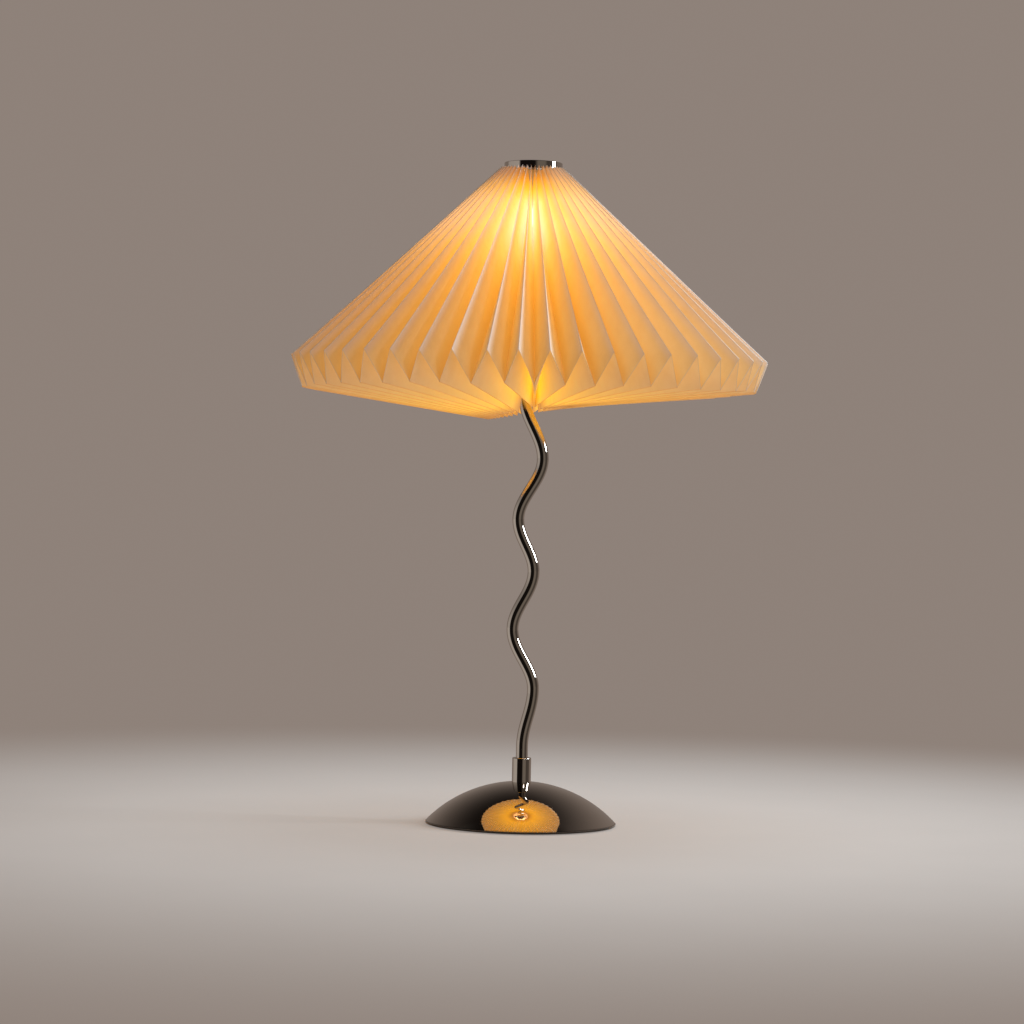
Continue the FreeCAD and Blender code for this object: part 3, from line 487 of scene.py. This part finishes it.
def valley_place(distance):
    """Radius and height of a valley, which runs straight on past the end of the ridges."""
    base = min(distance, SLOPE_LENGTH)
    radius, height = ridge_place(base)
    depth = pleat_depth(radius, OUTER[0])
    extra = distance - base
    return (radius - depth * OUTER[0] + extra * ALONG[0],
            height - depth * OUTER[1] + extra * ALONG[1])


rim_corner = valley_place(SLOPE_LENGTH + CREASE_LEAD)
rim_tip = ridge_place(SLOPE_LENGTH)
low_fold = (HOLE_RADIUS, rim_corner[1] - (rim_corner[0] - HOLE_RADIUS) * math.tan(UNDERSIDE))
fold_back = pleat_depth(HOLE_RADIUS, BELOW[0])
high_fold = (low_fold[0] - fold_back * BELOW[0], low_fold[1] - fold_back * BELOW[1])

# rows of points down the cone and under it, and where the points across one face lie
UPPER_ROWS = 40
UNDER_ROWS = 24
ACROSS = [0.0, 0.026, 0.06, 0.16, 0.34, 0.5, 0.66, 0.84, 0.94, 0.974, 1.0]
# the share of the cone at which the valleys begin to lead to the rim's corners
LEAD_START = 0.7
# the bulge of a face runs over that share of a half wave, from its edge to the rim
BULGE_REACH = 0.9

chance = random.Random(11)
fold_turn = [chance.uniform(-0.0018, 0.0018) for _ in range(FOLDS)]
tip_out = [chance.uniform(-0.0006, 0.0005) for _ in range(FOLDS)]
tip_down = [chance.uniform(-0.0007, 0.0007) for _ in range(FOLDS)]
face_bulge = [chance.uniform(0.0002, 0.0009) for _ in range(FOLDS)]


def fold_point(fold, row):
    """Place on a fold line. Rows run from the top edge to the rim, then under to the hole."""
    index = fold % FOLDS
    ridge = index % 2 == 1
    above_rim = row <= UPPER_ROWS
    if above_rim:
        share = row / UPPER_ROWS
        distance = share * SLOPE_LENGTH
        if ridge:
            radius, height = ridge_place(distance)
        else:
            skew = max(0.0, (share - LEAD_START) / (1 - LEAD_START)) ** 2
            radius, height = valley_place(distance + CREASE_LEAD * skew)
        near_rim = share ** 3
    else:
        share = (row - UPPER_ROWS) / UNDER_ROWS
        start, end = (rim_tip, high_fold) if ridge else (rim_corner, low_fold)
        radius = start[0] + (end[0] - start[0]) * share
        height = start[1] + (end[1] - start[1]) * share
        near_rim = (1 - share) ** 2
    radius += tip_out[index] * near_rim
    height += tip_down[index] * near_rim

    from_seam = (index + PLEATS) % FOLDS - PLEATS
    turn = fold_turn[index] * (0.3 + 0.7 * near_rim) + math.radians(UNEVEN.get(from_seam, 0.0))
    azimuth = SEAM_TURN + fold * FOLD_ANGLE + turn
    inward = max(0.0, row - UPPER_ROWS) / UNDER_ROWS
    aside, up = SEAM_PULL.get(from_seam, (0.0, 0.0))
    height += inward * (HOLE_LIFT + HOLE_TILT * math.sin(azimuth) + up)

    # the rim stands a little higher at the sides and back than at the front
    behind = min(1.0, 1.0 - math.cos(azimuth))
    in_all, rightward = RIDGE_RISE if ridge else VALLEY_RISE
    near_edge = (row / UPPER_ROWS) ** 2 if above_rim else 1.0 - inward
    height += behind * (in_all + rightward * math.sin(azimuth)) * near_edge
    shift = TOP_SHIFT * max(0.0, 1.0 - row / UPPER_ROWS) ** 2
    sideways = radius * math.sin(azimuth) + aside * inward + shift
    return Vector((sideways, -radius * math.cos(azimuth), height))


def add_object(name, data):
    """An object in the scene with that mesh, light or camera."""
    thing = bpy.data.objects.new(name, data)
    bpy.context.scene.collection.objects.link(thing)
    return thing


def new_mesh(name, points, faces, finish):
    mesh = bpy.data.meshes.new(name)
    mesh.from_pydata([tuple(point) for point in points], [], faces)
    mesh.materials.append(finish)
    return mesh


def paper_panel(name, first_fold, folds):
    """One quarter of the folded strip: slightly uneven pleats with a crisp rim and soft ridges."""
    rows = UPPER_ROWS + UNDER_ROWS
    verts, grid = [], []
    for row in range(rows + 1):
        line = []
        for fold in range(first_fold, first_fold + folds):
            start, end = fold_point(fold, row), fold_point(fold + 1, row)
            before = fold_point(fold, max(row - 1, 0))
            after = fold_point(fold, min(row + 1, rows))
            normal = (end - start).cross(after - before).normalized()
            share = row / UPPER_ROWS if row <= UPPER_ROWS else (rows - row) / UNDER_ROWS
            swell = face_bulge[fold % FOLDS] * math.sin(math.pi * share * BULGE_REACH)
            side = 1 if fold % 2 else -1
            for column, q in enumerate(ACROSS):
                if column == 0 and line:
                    continue
                out = normal * (swell * math.sin(math.pi * q) * side)
                line.append(len(verts))
                verts.append(start.lerp(end, q) + out)
        grid.append(line)

    faces, strip_uv, fold_uv = [], [], []
    columns = len(ACROSS) - 1
    for row in range(rows):
        for k in range(folds * columns):
            faces.append((grid[row][k], grid[row + 1][k], grid[row + 1][k + 1], grid[row][k + 1]))
            fold, column = divmod(k, columns)
            fold += first_fold
            corners = ((row, column), (row + 1, column), (row + 1, column + 1), (row, column + 1))
            for r, c in corners:
                q = ACROSS[c]
                across = q if fold % 2 == 0 else 1 - q
                if r <= UPPER_ROWS:
                    length = r / UPPER_ROWS * SLOPE_LENGTH
                else:
                    length = SLOPE_LENGTH + (r - UPPER_ROWS) / UNDER_ROWS * UNDER_LENGTH
                strip_uv.append((length, (fold + q) * PLEAT_WIDTH))
                fold_uv.append((length, across))

    mesh = new_mesh(name, verts, faces, finishes["paper"])
    for layer_name, values in (("Strip", strip_uv), ("Fold", fold_uv)):
        layer = mesh.uv_layers.new(name=layer_name)
        layer.data.foreach_set("uv", [c for uv in values for c in uv])
    mesh.update()
    mesh.polygons.foreach_set("use_smooth", [True] * len(mesh.polygons))
    rim_row = grid[UPPER_ROWS]
    edges_of_rim = {frozenset(pair) for pair in zip(rim_row, rim_row[1:])}
    sharp = [frozenset(edge.vertices) in edges_of_rim for edge in mesh.edges]
    mesh.attributes.new("sharp_edge", "BOOLEAN", "EDGE").data.foreach_set("value", sharp)
    return add_object(name, mesh)


def paper_shade():
    quarter = PLEATS // 2
    for index, place in enumerate(("front_right", "back_right", "back_left", "front_left")):
        piece = paper_panel("paper_" + place, index * quarter, quarter)
        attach(piece, "shade")
        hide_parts("shade_panel_" + place, "shade_underside_" + place)


# ---------------------------------------------------------------- wavy stem

STEM_RADIUS = 0.005
STEM_BORE = 0.004
STEM_ENDS = (0.013, 0.400)
STEM_STEPS = 320
STEM_SIDES = 48
# the turning points of its wave, as (sideways, height)
STEM_WAVE = [(0.0, 0.066), (0.00828, 0.1138), (-0.00993, 0.1641), (0.00683, 0.2125),
             (-0.00685, 0.2565), (0.01273, 0.3071), (-0.0041, 0.36075), (0.0, 0.388)]


def stem_offset(height):
    """Sideways place of the stem's centreline: smooth half waves between the turning points."""
    for (x_low, z_low), (x_high, z_high) in zip(STEM_WAVE, STEM_WAVE[1:]):
        if z_low < height <= z_high:
            share = (height - z_low) / (z_high - z_low)
            return x_low + (x_high - x_low) * (1 - math.cos(math.pi * share)) / 2
    return 0.0


def wavy_stem():
    """The bent tube with an even wall, smoother along its wave than the CAD mesh."""
    low, high = STEM_ENDS
    rings = []
    for k in range(STEM_STEPS + 1):
        height = low + (high - low) * k / STEM_STEPS
        centre = Vector((stem_offset(height), 0.0, height))
        lean = stem_offset(height + 0.0005) - stem_offset(height - 0.0005)
        ahead = Vector((lean, 0.0, 0.001)).normalized()
        rings.append((centre, Vector((ahead.z, 0.0, -ahead.x))))
    verts, faces = [], []
    for radius in (STEM_RADIUS, STEM_BORE):
        for centre, side in rings:
            for j in range(STEM_SIDES):
                angle = 2 * math.pi * j / STEM_SIDES
                across = side * (radius * math.cos(angle))
                verts.append(centre + across + Vector((0, radius * math.sin(angle), 0)))
    inner = (STEM_STEPS + 1) * STEM_SIDES
    for k in range(STEM_STEPS):
        for j in range(STEM_SIDES):
            a, b = k * STEM_SIDES + j, k * STEM_SIDES + (j + 1) % STEM_SIDES
            faces.append((a, b, b + STEM_SIDES, a + STEM_SIDES))
            faces.append((inner + a, inner + a + STEM_SIDES, inner + b + STEM_SIDES, inner + b))
    last = STEM_STEPS * STEM_SIDES
    for j in range(STEM_SIDES):
        after = (j + 1) % STEM_SIDES
        faces.append((j, inner + j, inner + after, after))
        faces.append((last + j, last + after, inner + last + after, inner + last + j))

    mesh = new_mesh("wavy_stem", verts, faces, finishes["polished_metal"])
    smooth = [True] * (2 * STEM_STEPS * STEM_SIDES) + [False] * (2 * STEM_SIDES)
    mesh.polygons.foreach_set("use_smooth", smooth)
    mesh.update()
    stem = add_object("wavy_stem", mesh)
    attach(stem, "stand")
    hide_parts("stem_tube")


# ---------------------------------------------------------------- stage, light and camera

FLOOR_REACH = 30.0
FLOOR_SIDES = 96
# how much lower the dark ceiling of the mirrored room hangs at its right
CEILING_LEAN = -0.4
BULB_CENTRE = Vector((0.0, 0.0, 0.4775))
BULB_RADIUS = 0.0225
CAMERA_PLACE = (-0.0123, -2.406, 0.267)
# the lens in millimetres, and how far the camera points down and is rolled, in degrees
CAMERA_LENS = 100.7
CAMERA_DIP = 0.11
CAMERA_ROLL = 1.14


def room_colour(graph, vector):
    """Colour of the room in the direction of a vector socket."""
    x, y, _ = graph.split(vector)
    bearing = graph.math("ARCTAN2", x, graph.math("MULTIPLY", y, -1.0))
    turn = graph.span(bearing, -math.pi, math.pi, 0.0, 1.0)
    return graph.ramp(turn, [((place + 180) / 360, colour) for place, colour in ROOM])


def floor_material():
    """A pale floor that fades into the colour of the wall away from the lamp."""
    m = Shader("floor").set(Roughness=0.75, Specular_IOR_Level=0.2)
    where = m.place()
    length = m.node("ShaderNodeVectorMath", operation="LENGTH")
    m.link(where, length.inputs[0])
    from_lamp = length.outputs["Value"]
    m.colour(m.tint(m.noise(where, 9.0, 4.0), tuple(0.96 * c for c in FLOOR), FLOOR))
    m.bump(m.noise(where, 60.0, 4.0), 0.05, 0.0005)
    lit = m.surface.outputs["BSDF"]

    path = m.node("ShaderNodeLightPath")
    lift = m.math("MULTIPLY", path.outputs["Is Camera Ray"], 0.5)
    near = m.blend(lift, lit, m.emit("ShaderNodeEmission", FLOOR_LIFT))
    far = m.span(from_lamp, 0.22, 1.1, 0.0, 1.0, True)
    seen = m.blend(far, near, m.emit("ShaderNodeEmission", WALL))
    beyond = m.span(from_lamp, 0.16, 0.24, 0.0, 1.0, True)
    mirrored = m.blend(beyond, lit, m.emit("ShaderNodeEmission", room_colour(m, where)))
    surface = m.blend(path.outputs["Is Glossy Ray"], seen, mirrored)
    m.link(surface, m.output.inputs["Surface"])
    m.material.cycles.emission_sampling = "NONE"
    return m.material


def build_stage():
    turns = [2 * math.pi * k / FLOOR_SIDES for k in range(FLOOR_SIDES)]
    rim = [(FLOOR_REACH * math.cos(turn), FLOOR_REACH * math.sin(turn), 0.0) for turn in turns]
    mesh = new_mesh("floor", rim, [tuple(range(FLOOR_SIDES))], floor_material())
    floor = add_object("floor", mesh)


def build_world():
    """An even wall for the camera, a dim sky for matt parts, and a dark room for shiny ones."""
    world = bpy.data.worlds.new("studio")
    bpy.context.scene.world = world
    world.use_nodes = True
    g = Graph(world.node_tree)
    g.tree.nodes.clear()

    direction = g.node("ShaderNodeTexCoord").outputs["Generated"]
    x, _, z = g.split(direction)
    leaning = g.math("MULTIPLY_ADD", g.math("MAXIMUM", x, 0.0), CEILING_LEAN, z)
    level = g.span(leaning, 0.1, 0.92, 0.88, 0.0, True)
    room = g.emit("ShaderNodeBackground", room_colour(g, direction))
    mirrored = g.blend(level, g.emit("ShaderNodeBackground", DARK), room)

    path = g.node("ShaderNodeLightPath")
    shiny = g.math("MAXIMUM", path.outputs["Is Glossy Ray"], path.outputs["Is Transmission Ray"])
    around = g.blend(shiny, g.emit("ShaderNodeBackground", SKY), mirrored)
    wall = g.emit("ShaderNodeBackground", WALL)
    seen = g.blend(path.outputs["Is Camera Ray"], around, wall)
    g.link(seen, g.node("ShaderNodeOutputWorld").inputs["Surface"])


def softbox(name, place, target, size, power, colour):
    """A rectangular light at a place, turned to face its target."""
    light = bpy.data.lights.new(name, "AREA")
    light.shape = "RECTANGLE"
    light.size, light.size_y = size
    light.energy = power
    light.color = colour
    thing = add_object(name, light)
    thing.location = place
    thing.rotation_mode = "QUATERNION"
    thing.rotation_quaternion = (Vector(target) - Vector(place)).to_track_quat("-Z", "Y")
    thing.visible_camera = False
    return thing


def build_lights():
    softbox("key", place=(2.4, -0.08, 1.3), target=(0, 0, 0.33), size=(0.7, 1.1),
            power=60.0, colour=(0.86, 0.94, 1.0))
    softbox("fill", place=(1.3, -2.1, 1.3), target=(0, 0, 0.3), size=(0.3, 0.5),
            power=7.0, colour=(1.0, 0.95, 0.88))
    overhead = softbox("overhead", place=(0.3, 0.5, 2.8), target=(0, 0, 0), size=(1.6, 1.6),
                       power=18.0, colour=(0.92, 0.97, 1.0))
    overhead.visible_glossy = False
    lamp = bpy.data.lights.new("bulb_light", "POINT")
    lamp.energy = 0.26
    lamp.color = WARM
    lamp.shadow_soft_size = BULB_RADIUS
    add_object("bulb_light", lamp).location = BULB_CENTRE
    nodes_of_frame["bulb_globe"].visible_shadow = False


def build_camera():
    """The photo's view: nearly level, and rolled because the lamp leans in the photo."""
    data = bpy.data.cameras.new("camera")
    data.lens = CAMERA_LENS
    data.sensor_width = 36.0
    data.clip_start = 0.1
    data.clip_end = 100.0
    camera = add_object("camera", data)
    pitch = Matrix.Rotation(math.radians(90.0 - CAMERA_DIP), 4, "X")
    roll = Matrix.Rotation(math.radians(CAMERA_ROLL), 4, "Z")
    camera.matrix_world = Matrix.Translation(CAMERA_PLACE) @ pitch @ roll
    bpy.context.scene.camera = camera


dress_frame()
paper_shade()
wavy_stem()
build_stage()
build_world()
build_lights()
build_camera()
bpy.context.scene.view_settings.view_transform = "Standard"
